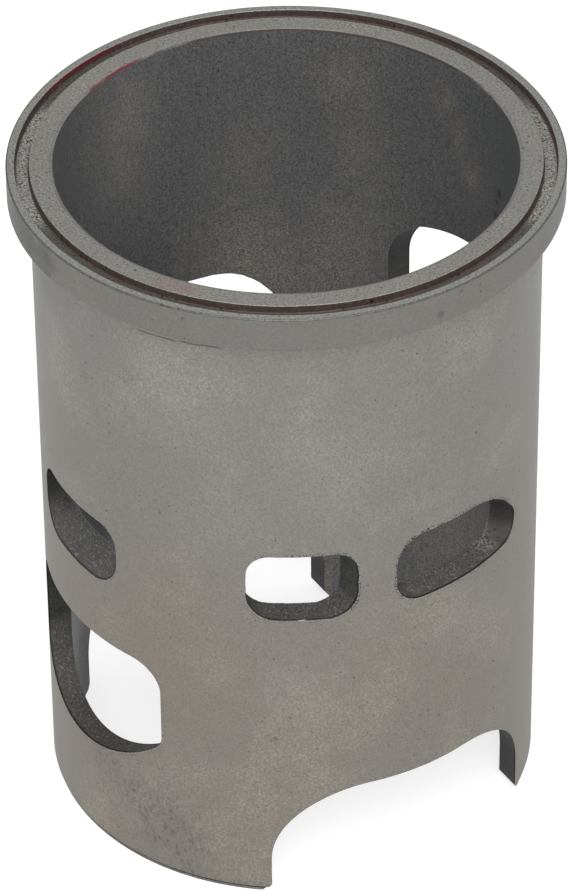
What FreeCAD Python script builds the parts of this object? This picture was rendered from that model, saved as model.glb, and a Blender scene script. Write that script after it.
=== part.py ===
import FreeCAD, Part
import math
import os
import Sketcher

# Cast iron cylinder liner of a two-stroke engine.
#
# The liner is one piece: a turned sleeve with a flange at its top, pierced by its ports. The bore
# axis is Z. The origin lies on it, level with the skirt's foot, so the liner stands on Z = 0 with
# its deck face up. The intake window faces -Y, the exhaust port +Y, and the rest is alike on the
# left and on the right of the YZ plane. Lengths are in millimetres and angles in degrees. An angle
# round the liner is counted from the intake side, -Y, towards +X.

SIZES = (
    ("height", 103.0, "from the skirt's foot to the deck face"),
    ("bore_diameter", 64.0, "bore that the piston runs in"),
    ("wall", 3.35, "wall between the bore and the outside"),
    ("bore_chamfer", 0.5, "chamfer at both ends of the bore"),
    ("flange_diameter", 76.8, "flange that seats in the cylinder block"),
    ("flange_thickness", 5.0, "flange from its seat to the deck face"),
    ("flange_edge", 0.25, "chamfer at the flange's two outer edges"),
    ("neck_radius", 0.4, "tool radius where the flange meets the sleeve"),
    ("rim_width", 1.2, "thin rim outside the gasket groove"),
    ("groove_width", 2.0, "gasket groove in the deck face"),
    ("groove_depth", 1.2, "gasket groove below the deck face"),
    ("foot_step_height", 0.8, "relieved band round the skirt's foot"),
    ("foot_step_depth", 0.45, "how far that band is turned down"),
    ("intake_half_width", 16.4, "intake window, from its middle to its side"),
    ("intake_depth", 65.8, "deck face to the intake window's roof"),
    ("intake_height", 21.0, "roof to the lowest point of the sill"),
    ("intake_sill_drop", 7.3, "how far the sill's middle hangs below its ends"),
    ("intake_roof_corner", 4.5, "radius at the roof's ends"),
    ("intake_sill_corner", 3.0, "radius at the sill's ends"),
    ("exhaust_half_width", 17.1, "exhaust port, from its middle to its side"),
    ("exhaust_depth", 27.9, "deck face to the top of the exhaust port's arch"),
    ("exhaust_height", 25.1, "top of the arch to the floor"),
    ("exhaust_arch_rise", 3.8, "how far the arch's middle stands above its ends"),
    ("exhaust_roof_corner", 8.0, "radius at the arch's ends"),
    ("exhaust_floor_corner", 7.0, "radius at the floor's ends"),
    ("boost_half_angle", 16.0, "boost port above the intake, from its middle to its side"),
    ("boost_depth", 44.8, "deck face to the boost port's roof, on the outside"),
    ("boost_height", 10.4, "roof to floor"),
    ("boost_rise", 49.0, "slope of roof and floor, up towards the bore"),
    ("boost_roof_corner", 2.6, "radius at the roof's ends, square to the slope"),
    ("boost_floor_corner", 4.0, "radius at the floor's ends, square to the slope"),
    ("aux_from", 49.2, "auxiliary transfer port, its side next to the intake"),
    ("aux_to", 74.4, "its side next to the main transfer port"),
    ("aux_depth", 42.1, "deck face to its roof, on the outside"),
    ("aux_height", 10.95, "roof to floor"),
    ("aux_rise", 7.5, "slope of roof and floor, up towards the bore"),
    ("aux_lean", 3.0, "how far its sides turn back to the intake on their way in"),
    ("aux_roof_corner", 3.5, "radius at the roof's ends"),
    ("aux_floor_corner", 4.3, "radius at the floor's ends"),
    ("main_from", 83.8, "main transfer port, its side next to the auxiliary one"),
    ("main_to", 121.6, "its side next to the exhaust"),
    ("main_depth", 42.0, "deck face to its roof, on the outside"),
    ("main_height", 11.0, "roof to floor"),
    ("main_rise", 14.0, "slope of roof and floor, up towards the bore"),
    ("main_lean", 2.0, "how far its sides turn back to the intake on their way in"),
    ("main_roof_corner", 4.5, "radius at the roof's end away from the exhaust"),
    ("main_floor_corner", 3.8, "radius at the floor's end away from the exhaust"),
    ("main_shoulder_width", 6.0, "sloping shoulder towards the exhaust, along the roof"),
    ("main_shoulder_drop", 6.5, "the same shoulder, down the side"),
    ("main_sweep_radius", 12.0, "long curve from the roof into the shoulder"),
    ("main_tip_radius", 3.0, "curve from the shoulder into the side"),
    ("main_heel_radius", 3.0, "curve from the side into the floor"),
    ("notch_half_width", 20.65, "crankcase notch in the skirt, from its middle to its side"),
    ("notch_height", 19.0, "skirt's foot to the notch's roof"),
    ("notch_corner", 13.0, "radius at the roof's ends"),
    ("notch_break_width", 1.0, "corner taken off at the notch's mouth, sideways"),
    ("notch_break_height", 1.3, "the same corner, upwards"),
)

# A core runs past the wall by this many wall thicknesses, outwards and into the bore.
OVERRUN_OUT = 3
OVERRUN_IN = 1
# Largest shares of an opening's height and width that one rounded corner may take.
CORNER_SHARE = 0.45
CORNER_WIDTH_SHARE = 0.36
# Largest shares of a main port's height and width that its shoulder may take, of the straight roof
# left beside it that the long curve may take, and of the side left below it that a radius at one
# of the side's ends may take.
SHOULDER_SHARE = 0.6
ALONG_SHARE = 0.32
SWEEP_SHARE = 0.9
SIDE_SHARE = 0.67
# Smallest volume that a cut has to take away, in cubic millimetres.
LEAST_CUT = 1.0

BORE_RADIUS = "(Sizes.bore_diameter / 2)"
OUTER_RADIUS = "(Sizes.bore_diameter / 2 + Sizes.wall)"
FLANGE_RADIUS = "(Sizes.flange_diameter / 2)"

doc = FreeCAD.newDocument("CylinderLiner")
sheet = doc.addObject("Spreadsheet::Sheet", "Sizes")
for row, (name, number, meaning) in enumerate(SIZES, start=1):
    sheet.set(f"A{row}", meaning)
    sheet.set(f"B{row}", str(number))
    sheet.setAlias(f"B{row}", name)
doc.recompute()


def value(formula):
    """Number that a formula of the sheet's sizes gives."""
    return float(sheet.evalExpression(str(formula)))


def new_body(label):
    """Empty body with its name."""
    body = doc.addObject("PartDesign::Body", label)
    body.Label = label
    return body


def new_sketch(body, plane, label):
    """Sketch on one of the body's own origin planes."""
    sketch = body.newObject("Sketcher::SketchObject", label)
    support = [item for item in body.Origin.OriginFeatures if item.Role == plane]
    sketch.AttachmentSupport = (support[0], [""])
    sketch.MapMode = "FlatFace"
    return sketch


def set_datum(sketch, constraint, formula):
    """Add a dimension and bind it to its formula."""
    index = sketch.addConstraint(constraint)
    sketch.setExpression(f"Constraints[{index}]", formula)


def add_outline(sketch, corners):
    """Closed outline through the corners, which go round counter-clockwise.

    A corner is a pair of formulas. Where a third is given, it is the radius of the arc from this
    corner to the next, which bulges outwards; elsewhere a straight line joins the two.
    """
    first = sketch.GeometryCount
    places = [FreeCAD.Vector(value(corner[0]), value(corner[1]), 0) for corner in corners]
    for index, corner in enumerate(corners):
        start = places[index]
        end = places[(index + 1) % len(places)]
        if len(corner) == 3:
            sketch.addGeometry(bulging_arc(start, end, value(corner[2])))
        else:
            sketch.addGeometry(Part.LineSegment(start, end))
    for index, corner in enumerate(corners):
        piece = first + index
        following = first + (index + 1) % len(corners)
        sketch.addConstraint(Sketcher.Constraint("Coincident", piece, 2, following, 1))
        across = Sketcher.Constraint("DistanceX", -1, 1, piece, 1, places[index].x)
        set_datum(sketch, across, corner[0])
        upwards = Sketcher.Constraint("DistanceY", -1, 1, piece, 1, places[index].y)
        set_datum(sketch, upwards, corner[1])
        if len(corner) == 3:
            set_datum(sketch, Sketcher.Constraint("Radius", piece, value(corner[2])), corner[2])


def bulging_arc(start, end, radius):
    """Arc from start to end that passes to the right of the straight way."""
    chord = end - start
    left = FreeCAD.Vector(-chord.y, chord.x, 0).normalize()
    centre = (start + end) / 2 + left * math.sqrt(radius ** 2 - (chord.Length / 2) ** 2)
    angles = [math.atan2(point.y - centre.y, point.x - centre.x) for point in (start, end)]
    return Part.ArcOfCircle(Part.Circle(centre, FreeCAD.Vector(0, 0, 1), radius), *angles)


def arc_radius(half_chord, bow):
    """Formula for the radius of an arc from half its chord and how far it bows."""
    return f"(({half_chord}) ^ 2 + ({bow}) ^ 2) / (2 * {bow})"


def corner_limit(radius, height, width):
    """Formula for a corner radius that never takes more than its share of height and width."""
    return f"min({radius}; {CORNER_SHARE} * {height}; {CORNER_WIDTH_SHARE} * {width})"


def narrow_width(start, end):
    """Formula for a port's width between two angles, where its core is narrowest."""
    return f"(({end} - {start}) * pi / 180 * ({BORE_RADIUS} - {OVERRUN_IN} * Sizes.wall))"


def on_outside(angle, height, side=1):
    """Place on the sleeve's outer face, at an angle from the intake side and a height.

    Side is 1 for the right half of the liner, towards +X, and -1 for the left half.
    """
    return (f"{side} * {OUTER_RADIUS} * sin({angle})", f"-{OUTER_RADIUS} * cos({angle})", height)


def edge_near(feature, place):
    """Name of the feature's edge that passes nearest to a place."""
    target = Part.Vertex(*[value(part) for part in place])
    distances = [edge.distToShape(target)[0] for edge in feature.Shape.Edges]
    return f"Edge{distances.index(min(distances)) + 1}"


def round_edges(body, feature, label, radius, places):
    """Round the edges that pass through the places."""
    doc.recompute()
    fillet = body.newObject("PartDesign::Fillet", label)
    fillet.Base = (feature, [edge_near(feature, place) for place in places])
    fillet.setExpression("Radius", radius)
    return fillet


def milled_core(label, plane, corners, sides):
    """Core of an opening that is cut straight through the wall, at right angles to a plane."""
    body = new_body(label)
    sketch = new_sketch(body, plane, f"{label}_outline")
    add_outline(sketch, corners)
    core = body.newObject("PartDesign::Pad", f"{label}_block")
    core.Profile = sketch
    core.SideType = "Symmetric" if sides == "both" else "One side"
    core.Reversed = sides == "back"
    core.setExpression("Length", "Sizes.flange_diameter")
    return body, core


def wall_line(outer_angle, inner_angle, share, side):
    """Place on the straight line through a port side's two edges, seen from above.

    The line passes through the outer face at one angle and through the bore at the other. The
    share counts in wall thicknesses, outwards from the outer face. Side is 1 or -1, as above.
    """
    outer = f"(1 + {share}) * {OUTER_RADIUS}"
    inner = f"{share} * {BORE_RADIUS}"
    across = f"{side} * ({outer} * sin({outer_angle}) - {inner} * sin({inner_angle}))"
    along = f"-({outer} * cos({outer_angle}) - {inner} * cos({inner_angle}))"
    return across, along


def cast_core(label, size, start, end, lean, side=1):
    """Core of a transfer port, with flat sides and with a roof and a floor that slope.

    It is a wedge between its two sides, which lean back by some degrees between the outer face
    and the bore, and it is trimmed above and below by two cones about the bore's axis. Side is 1
    for a port in the right half of the liner and -1 for its mirror image.
    """
    body = new_body(label)
    plan = new_sketch(body, "XY_Plane", f"{label}_plan")
    reach_in = f"(-1 - {OVERRUN_IN})"
    corners = (
        wall_line(start, f"({start} - {lean})", OVERRUN_OUT, side),
        wall_line(end, f"({end} - {lean})", OVERRUN_OUT, side),
        wall_line(end, f"({end} - {lean})", reach_in, side),
        wall_line(start, f"({start} - {lean})", reach_in, side),
    )
    add_outline(plan, corners[::side])
    wedge = body.newObject("PartDesign::Pad", f"{label}_wedge")
    wedge.Profile = plan
    wedge.setExpression("Length", "Sizes.height")

    near = f"({BORE_RADIUS} / 2)"
    far = f"({OUTER_RADIUS} + 2 * {OVERRUN_OUT} * Sizes.wall)"
    roof = f"(Sizes.height - Sizes.{size}_depth)"
    floor = f"({roof} - Sizes.{size}_height)"
    slope = f"tan(Sizes.{size}_rise)"
    climb_near = f"({OUTER_RADIUS} - {near}) * {slope}"
    climb_far = f"({OUTER_RADIUS} - {far}) * {slope}"
    # The section stands across the bore from the core, so that the cones start clear of it.
    section = new_sketch(body, "XZ_Plane", f"{label}_section")
    above = (
        (f"{-side} * {far}", f"{roof} + {climb_far}"),
        (f"{-side} * {near}", f"{roof} + {climb_near}"),
        (f"{-side} * {near}", "2 * Sizes.height"),
        (f"{-side} * {far}", "2 * Sizes.height"),
    )
    below = (
        (f"{-side} * {far}", "-Sizes.height"),
        (f"{-side} * {near}", "-Sizes.height"),
        (f"{-side} * {near}", f"{floor} + {climb_near}"),
        (f"{-side} * {far}", f"{floor} + {climb_far}"),
    )
    add_outline(section, above[::side])
    add_outline(section, below[::side])
    trim = body.newObject("PartDesign::Groove", f"{label}_trim")
    trim.Profile = section
    trim.ReferenceAxis = (section, ["V_Axis"])
    trim.Angle = 360
    return body, trim, roof, floor


def intake_core():
    """Intake window: flat roof, upright sides and a sill that hangs in a shallow arc."""
    half = "Sizes.intake_half_width"
    roof = "(Sizes.height - Sizes.intake_depth)"
    sill_end = f"({roof} - Sizes.intake_height + Sizes.intake_sill_drop)"
    body, core = milled_core("intake_core", "XZ_Plane", (
        (half, roof),
        (f"-{half}", roof),
        (f"-{half}", sill_end, arc_radius(half, "Sizes.intake_sill_drop")),
        (half, sill_end),
    ), "front")
    roof_ends = [(f"{side} * {half}", f"-{OUTER_RADIUS}", roof) for side in (1, -1)]
    sill_ends = [(f"{side} * {half}", f"-{OUTER_RADIUS}", sill_end) for side in (1, -1)]
    roof_radius = corner_limit("Sizes.intake_roof_corner", "Sizes.intake_height", f"2 * {half}")
    sill_radius = corner_limit("Sizes.intake_sill_corner", "Sizes.intake_height", f"2 * {half}")
    core = round_edges(body, core, "intake_roof_corners", roof_radius, roof_ends)
    round_edges(body, core, "intake_sill_corners", sill_radius, sill_ends)
    return body


def exhaust_core():
    """Exhaust port: arched roof with wide round corners, upright sides and a flat floor."""
    half = "Sizes.exhaust_half_width"
    arch_end = "(Sizes.height - Sizes.exhaust_depth - Sizes.exhaust_arch_rise)"
    floor = "(Sizes.height - Sizes.exhaust_depth - Sizes.exhaust_height)"
    body, core = milled_core("exhaust_core", "XZ_Plane", (
        (half, arch_end, arc_radius(half, "Sizes.exhaust_arch_rise")),
        (f"-{half}", arch_end),
        (f"-{half}", floor),
        (half, floor),
    ), "back")
    arch_ends = [(f"{side} * {half}", OUTER_RADIUS, arch_end) for side in (1, -1)]
    floor_ends = [(f"{side} * {half}", OUTER_RADIUS, floor) for side in (1, -1)]
    height = "Sizes.exhaust_height"
    roof_radius = corner_limit("Sizes.exhaust_roof_corner", height, f"2 * {half}")
    floor_radius = corner_limit("Sizes.exhaust_floor_corner", height, f"2 * {half}")
    core = round_edges(body, core, "exhaust_roof_corners", roof_radius, arch_ends)
    round_edges(body, core, "exhaust_floor_corners", floor_radius, floor_ends)
    return body


def notch_core():
    """Both crankcase notches: one arch, open at the foot, cut through the skirt's two walls."""
    half = "Sizes.notch_half_width"
    mouth = f"({half} + Sizes.notch_break_width)"
    roof = "Sizes.notch_height"
    body, core = milled_core("notch_core", "YZ_Plane", (
        (f"-{mouth}", "-Sizes.notch_height"),
        (mouth, "-Sizes.notch_height"),
        (mouth, "0"),
        (half, "Sizes.notch_break_height"),
        (half, roof),
        (f"-{half}", roof),
        (f"-{half}", "Sizes.notch_break_height"),
        (f"-{mouth}", "0"),
    ), "both")
    roof_ends = [("0", f"{side} * {half}", roof) for side in (1, -1)]
    room = "(Sizes.notch_height - Sizes.notch_break_height)"
    radius = f"min(Sizes.notch_corner; 0.95 * {room}; 0.95 * {half})"
    round_edges(body, core, "notch_corners", radius, roof_ends)
    return body


def boost_core():
    """Boost port over the intake window: a slot whose roof and floor rise steeply inwards."""
    half = "Sizes.boost_half_angle"
    body, core, roof, floor = cast_core("boost_core", "boost", f"-{half}", half, "0")
    roof_ends = [on_outside(f"{side} * {half}", roof) for side in (1, -1)]
    floor_ends = [on_outside(f"{side} * {half}", floor) for side in (1, -1)]
    upright = "(Sizes.boost_height * cos(Sizes.boost_rise))"
    width = narrow_width(f"-{half}", half)
    roof_radius = corner_limit("Sizes.boost_roof_corner", upright, width)
    core = round_edges(body, core, "boost_roof_corners", roof_radius, roof_ends)
    floor_radius = f"min(Sizes.boost_floor_corner; 0.95 * {upright} - {roof_radius})"
    round_edges(body, core, "boost_floor_corners", floor_radius, floor_ends)
    return body


def aux_core(name, side):
    """Auxiliary transfer port of one half: a small window that leans towards the intake."""
    start = "Sizes.aux_from"
    end = "Sizes.aux_to"
    body, core, roof, floor = cast_core(name, "aux", start, end, "Sizes.aux_lean", side)
    roof_ends = [on_outside(angle, roof, side) for angle in (start, end)]
    floor_ends = [on_outside(angle, floor, side) for angle in (start, end)]
    width = narrow_width(start, end)
    roof_radius = corner_limit("Sizes.aux_roof_corner", "Sizes.aux_height", width)
    floor_radius = corner_limit("Sizes.aux_floor_corner", "Sizes.aux_height", width)
    core = round_edges(body, core, f"{name}_roof_corners", roof_radius, roof_ends)
    round_edges(body, core, f"{name}_floor_corners", floor_radius, floor_ends)
    return body


def main_core(name, side):
    """Main transfer port of one half: a long window with a shoulder at the exhaust end."""
    start = "Sizes.main_from"
    end = "Sizes.main_to"
    body, core, roof, floor = cast_core(name, "main", start, end, "Sizes.main_lean", side)

    doc.recompute()
    width = narrow_width(start, end)
    along = f"min(Sizes.main_shoulder_width; {ALONG_SHARE} * {width})"
    drop = f"min(Sizes.main_shoulder_drop; {SHOULDER_SHARE} * Sizes.main_height)"
    shoulder = body.newObject("PartDesign::Chamfer", f"{name}_shoulder")
    shoulder.Base = (core, [edge_near(core, on_outside(end, roof, side))])
    shoulder.ChamferType = "Two distances"
    shoulder.setExpression("Size", f"{drop} * cos(Sizes.main_rise)")
    shoulder.setExpression("Size2", along)

    turn = f"(180 / pi * {along} / {OUTER_RADIUS})"
    upright = f"(Sizes.main_height - {drop})"
    tip_radius = f"min(Sizes.main_tip_radius; {SIDE_SHARE} * {upright})"
    heel_radius = f"min(Sizes.main_heel_radius; {SIDE_SHARE} * {upright})"
    roof_radius = corner_limit("Sizes.main_roof_corner", "Sizes.main_height", width)
    floor_radius = corner_limit("Sizes.main_floor_corner", "Sizes.main_height", width)
    straight_roof = f"({width} - {along} - {roof_radius})"
    most_sweep = f"{SWEEP_SHARE} * {straight_roof} / tan(atan2({drop}; {along}) / 2)"
    sweep_radius = f"min(Sizes.main_sweep_radius; {most_sweep})"
    core = shoulder
    for edge, radius, angle, height in (
        ("roof_corner", roof_radius, start, roof),
        ("floor_corner", floor_radius, start, floor),
        ("sweep", sweep_radius, f"{end} - {turn}", roof),
        ("tip", tip_radius, end, f"{roof} - {drop}"),
        ("heel", heel_radius, end, floor),
    ):
        place = on_outside(angle, height, side)
        core = round_edges(body, core, f"{name}_{edge}", radius, [place])
    return body


def turned_sleeve():
    """The sleeve as it leaves the lathe: a turned blank, bored right through."""
    body = new_body("cylinder_liner")
    outside = new_sketch(body, "XZ_Plane", "blank_section")
    foot_radius = f"({OUTER_RADIUS} - Sizes.foot_step_depth)"
    seat = "(Sizes.height - Sizes.flange_thickness)"
    chamfered_flange = f"({FLANGE_RADIUS} - Sizes.flange_edge)"
    rim = f"({FLANGE_RADIUS} - Sizes.rim_width)"
    land = f"({rim} - Sizes.groove_width)"
    groove_floor = "(Sizes.height - Sizes.groove_depth)"
    add_outline(outside, (
        ("0", "0"),
        (foot_radius, "0"),
        (foot_radius, "Sizes.foot_step_height"),
        (OUTER_RADIUS, "Sizes.foot_step_height"),
        (OUTER_RADIUS, seat),
        (chamfered_flange, seat),
        (FLANGE_RADIUS, f"{seat} + Sizes.flange_edge"),
        (FLANGE_RADIUS, "Sizes.height - Sizes.flange_edge"),
        (chamfered_flange, "Sizes.height"),
        (rim, "Sizes.height"),
        (rim, groove_floor),
        (land, groove_floor),
        (land, "Sizes.height"),
        ("0", "Sizes.height"),
    ))
    blank = body.newObject("PartDesign::Revolution", "blank")
    blank.Profile = outside
    blank.ReferenceAxis = (outside, ["V_Axis"])
    blank.Angle = 360
    round_edges(body, blank, "neck", "Sizes.neck_radius", [(OUTER_RADIUS, "0", seat)])

    # The chamfers run on past both faces, so that the boring tool leaves nothing standing.
    inside = new_sketch(body, "YZ_Plane", "bore_section")
    mouth = f"({BORE_RADIUS} + 2 * Sizes.bore_chamfer)"
    add_outline(inside, (
        ("0", "-Sizes.bore_chamfer"),
        (mouth, "-Sizes.bore_chamfer"),
        (BORE_RADIUS, "Sizes.bore_chamfer"),
        (BORE_RADIUS, "Sizes.height - Sizes.bore_chamfer"),
        (mouth, "Sizes.height + Sizes.bore_chamfer"),
        ("0", "Sizes.height + Sizes.bore_chamfer"),
    ))
    bore = body.newObject("PartDesign::Groove", "bore")
    bore.Profile = inside
    bore.ReferenceAxis = (inside, ["V_Axis"])
    bore.Angle = 360
    return body, bore


def check(feature):
    """Stop if a feature failed or holds no valid shape."""
    if {"Invalid", "Error"} & set(feature.State):
        raise RuntimeError(f"{feature.Label} could not be built: {feature.State}")
    if hasattr(feature, "Shape") and not feature.Shape.isNull() and not feature.Shape.isValid():
        raise RuntimeError(f"{feature.Label} has a faulty shape")


liner, sleeve = turned_sleeve()
cores = [intake_core(), exhaust_core(), notch_core(), boost_core()]
for half, side in (("right", 1), ("left", -1)):
    cores.append(aux_core(f"aux_core_{half}", side))
    cores.append(main_core(f"main_core_{half}", side))
doc.recompute()
for core in cores:
    check(core)
    if core.Shape.isNull() or core.Shape.common(sleeve.Shape).Volume < LEAST_CUT:
        raise RuntimeError(f"{core.Label} cuts nothing")

ports = liner.newObject("PartDesign::Boolean", "ports")
ports.Type = "Cut"
ports.setObjects(cores)
liner.Tip = ports
doc.recompute()

for feature in doc.Objects:
    check(feature)
if liner.Shape.isNull() or len(liner.Shape.Solids) != 1:
    raise RuntimeError("the liner is not one solid")

os.makedirs("parts", exist_ok=True)
liner.Shape.exportStep(f"parts/{liner.Label}.step")
box = liner.Shape.BoundBox
print(f"{liner.Label}: {liner.Shape.Volume:.1f} mm3, {len(liner.Shape.Faces)} faces,")
print(f"  {box.XLength:.2f} x {box.YLength:.2f} x {box.ZLength:.2f} mm")
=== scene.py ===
"""Looks of a ported cylinder liner, laid out as a Blender add-on and run as a script.

The liner's casting is one surface, worked out with numpy round the bore axis, Z. Two skins, one
outside and one in the bore, are cut into blocks of angle and height. Where a block holds a port,
its grid runs from the port's outline out to the block's four sides. Strips carried along the port
outlines join the two skins through the wall, and turned profiles close them at deck and foot.
"""

import math

import bpy
import numpy as np
from mathutils import Matrix, Vector


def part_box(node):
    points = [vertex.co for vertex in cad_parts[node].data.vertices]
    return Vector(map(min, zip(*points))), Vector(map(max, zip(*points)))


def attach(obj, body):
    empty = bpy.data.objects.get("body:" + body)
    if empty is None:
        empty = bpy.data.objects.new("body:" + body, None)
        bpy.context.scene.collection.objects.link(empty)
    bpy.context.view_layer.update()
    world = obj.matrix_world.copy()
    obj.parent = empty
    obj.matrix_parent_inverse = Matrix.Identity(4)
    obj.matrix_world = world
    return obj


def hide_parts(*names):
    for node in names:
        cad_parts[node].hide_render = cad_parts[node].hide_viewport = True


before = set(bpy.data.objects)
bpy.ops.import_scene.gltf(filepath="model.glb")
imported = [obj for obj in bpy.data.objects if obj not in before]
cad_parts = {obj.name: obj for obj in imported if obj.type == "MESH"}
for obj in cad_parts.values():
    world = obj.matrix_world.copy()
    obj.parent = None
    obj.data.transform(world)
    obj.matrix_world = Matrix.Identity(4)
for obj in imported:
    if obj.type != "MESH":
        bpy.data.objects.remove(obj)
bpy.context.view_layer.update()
CAD_LOW, CAD_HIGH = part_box("cylinder_liner")

bl_info = {
    "name": "Ported cylinder liner",
    "version": (1, 0, 0),
    "blender": (4, 5, 0),
    "location": "View3D > Sidebar > Liner",
    "description": "Builds a two-stroke engine's cylinder liner and the stage it stands on",
    "category": "Object",
}

MM = 0.001
DEG = math.pi / 180


def length(name, description, default):
    """Property for a length in metres."""
    return bpy.props.FloatProperty(
        name=name, description=description, default=default, min=0.0, precision=5, unit="LENGTH"
    )


def angle(name, description, degrees):
    """Property for an angle, given here in degrees."""
    return bpy.props.FloatProperty(
        name=name, description=description, default=degrees * DEG, subtype="ANGLE"
    )


def colour(name, description, default):
    """Property for a colour, as linear red, green and blue."""
    return bpy.props.FloatVectorProperty(
        name=name, description=description, default=default, min=0.0, max=1.0, subtype="COLOR"
    )


class LinerSleeveSizes(bpy.types.PropertyGroup):
    """Sizes of the turned sleeve."""

    height: length("Height", "From the skirt's foot to the deck face", CAD_HIGH.z - CAD_LOW.z)
    bore: length("Bore radius", "Radius that the piston runs in", 32.0 * MM)
    wall: length("Wall", "Between the bore and the outside", 3.35 * MM)
    flange: length("Flange radius", "Outer radius of the flange", CAD_HIGH.x)
    flange_height: length("Flange height", "From the flange's seat to the deck face", 5.0 * MM)
    rim: length("Rim", "Width of the rim outside the gasket groove", 1.2 * MM)
    groove: length("Groove width", "Width of the gasket groove", 2.0 * MM)
    groove_depth: length("Groove depth", "Gasket groove below the deck face", 1.2 * MM)
    chamfer: length("Bore chamfer", "Chamfer at both ends of the bore", 0.5 * MM)
    chamfer_drop: length("Deck chamfer drop", "Depth of the chamfer at the deck", 0.22 * MM)
    neck: length("Neck radius", "Radius between flange and sleeve", 0.4 * MM)
    step_height: length("Foot step height", "Relieved band round the foot", 0.8 * MM)
    step_depth: length("Foot step depth", "How far that band is turned down", 0.25 * MM)
    edge: length("Edge radius", "Radius on the turned edges", 0.22 * MM)
    port_edge: length("Port edge radius", "Radius on the ports' edges", 0.13 * MM)


class LinerPortSizes(bpy.types.PropertyGroup):
    """Sizes of the ports, which hang from the deck face, and of the notches in the skirt."""

    intake_half: length("Intake half width", "Middle to side", 16.4 * MM)
    intake_depth: length("Intake depth", "Deck to roof", 65.8 * MM)
    intake_height: length("Intake height", "Roof to the lowest point of the sill", 21.0 * MM)
    intake_sag: length("Intake sill drop", "How far the sill's middle hangs", 7.3 * MM)
    exhaust_half: length("Exhaust half width", "Middle to side", 17.1 * MM)
    exhaust_depth: length("Exhaust depth", "Deck to the top of the arch", 27.9 * MM)
    exhaust_height: length("Exhaust height", "Top of the arch to the floor", 25.1 * MM)
    exhaust_arch: length("Exhaust arch rise", "How far the arch's middle stands up", 3.8 * MM)
    boost_half: angle("Boost half angle", "Middle to side", 16.0)
    boost_depth: length("Boost depth", "Deck to roof, outside", 44.8 * MM)
    boost_height: length("Boost height", "Roof to floor", 10.4 * MM)
    boost_rise: angle("Boost slope", "Climb of roof and floor towards the bore", 49.0)
    aux_from: angle("Auxiliary port start", "Side next to the intake", 49.2)
    aux_to: angle("Auxiliary port end", "Side next to the main port", 74.4)
    aux_depth: length("Auxiliary port depth", "Deck to roof, outside", 42.1 * MM)
    aux_height: length("Auxiliary port height", "Roof to floor", 10.95 * MM)
    aux_rise: angle("Auxiliary port slope", "Climb of roof and floor towards the bore", 7.5)
    aux_lean: angle("Auxiliary port lean", "Turn towards the intake on the way in", 3.0)
    main_from: angle("Main port start", "Side next to the auxiliary port", 83.8)
    main_to: angle("Main port end", "Side next to the exhaust", 121.6)
    main_depth: length("Main port depth", "Deck to roof, outside", 42.0 * MM)
    main_height: length("Main port height", "Roof to floor", 11.0 * MM)
    main_rise: angle("Main port slope", "Climb of roof and floor towards the bore", 14.0)
    main_lean: angle("Main port lean", "Turn towards the intake on the way in", 2.0)
    shoulder_width: length("Shoulder width", "Main port's shoulder along its roof", 6.0 * MM)
    shoulder_drop: length("Shoulder drop", "Main port's shoulder down its side", 6.5 * MM)
    notch_half: length("Notch half width", "Middle to side", 20.65 * MM)
    notch_height: length("Notch height", "Foot to roof", 19.0 * MM)
    notch_corner: length("Notch corner", "Radius at the roof's ends", 13.0 * MM)


class LinerColours(bpy.types.PropertyGroup):
    """Colours of the iron's finishes."""

    turned: colour("Turned wall", "Aged outer wall", (0.232, 0.228, 0.212))
    warm: colour("Warm cast", "Tint of the outer wall's warm patches", (0.241, 0.230, 0.203))
    deck: colour("Deck", "Ground lands of the deck", (0.256, 0.252, 0.236))
    # The groove's walls take this dark brown: staining, darkened further as painted shade.
    groove: colour("Groove", "Stained gasket groove", (0.088, 0.062, 0.055))
    bore: colour("Bore", "Honed bore", (0.132, 0.135, 0.137))
    bore_warm: colour("Bore patches", "Warm grain in the bore", (0.315, 0.265, 0.212))
    cast: colour("Port walls", "Rough walls of the ports", (0.052, 0.050, 0.048))
    dye: colour("Dye", "Traces of red inspection dye", (0.150, 0.006, 0.022))
    floor: colour("Floor", "Pale floor under the liner", (0.86, 0.86, 0.86))


# Zones of the surface, in the order of their finishes.
WALL, EDGE, CAST, BORE, FLANGE, DECK, GROOVE, FOOT, CHAMFER, GROOVE_FLOOR = range(10)
# The grid has this many columns round the liner, each this wide.
AROUND = 240
COLUMN = 1.5 * DEG
# First and last column of the blocks round the openings, on the side that is seen.
BLOCKS = {
    "intake": (-28, 28), "boost": (-21, 21), "aux": (21, 53), "main": (53, 91),
    "exhaust": (91, 149), "notch": (28, 92), "back": (92, 148),
}
# Top and rows of the bands of blocks: one with the intake window, one with the ports above it.
LOWER_BAND = (44 * MM, 44)
PORT_BAND = (79 * MM, 35)
PLAIN_ROWS = 18
# Rows from a port's outline to its block's sides, rows of a rounded edge, and how far the crown's
# profile starts below the flange and below the deck.
RINGS = 9
EDGE_ROWS = 5
CROWN_MARGIN = 1.0 * MM
# Zones of a strip through the wall, row by row.
STRIP_ZONES = np.array([EDGE] * 4 + [CAST] * 6 + [BORE] * 4)[:, None]
# The distance to a port's edge is stored up to here.
EDGE_REACH = 2.5 * MM
# Points closer than this are welded. The shift keeps round numbers away from a cell's border.
WELD = 1e-7
WELD_SHIFT = 0.37
# The notches' mouths flare by this much, below the height of the lip, and their edges' radius
# grows from nothing at the foot over this height.
MOUTH = 1.0 * MM
LIP = 1.3 * MM
TAPER = 1.5 * MM
# Points along a port's and a notch's outline, and on one of its rounded corners.
OUTLINE_POINTS = 2880
NOTCH_POINTS = 1441
CORNER_POINTS = 48
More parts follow.
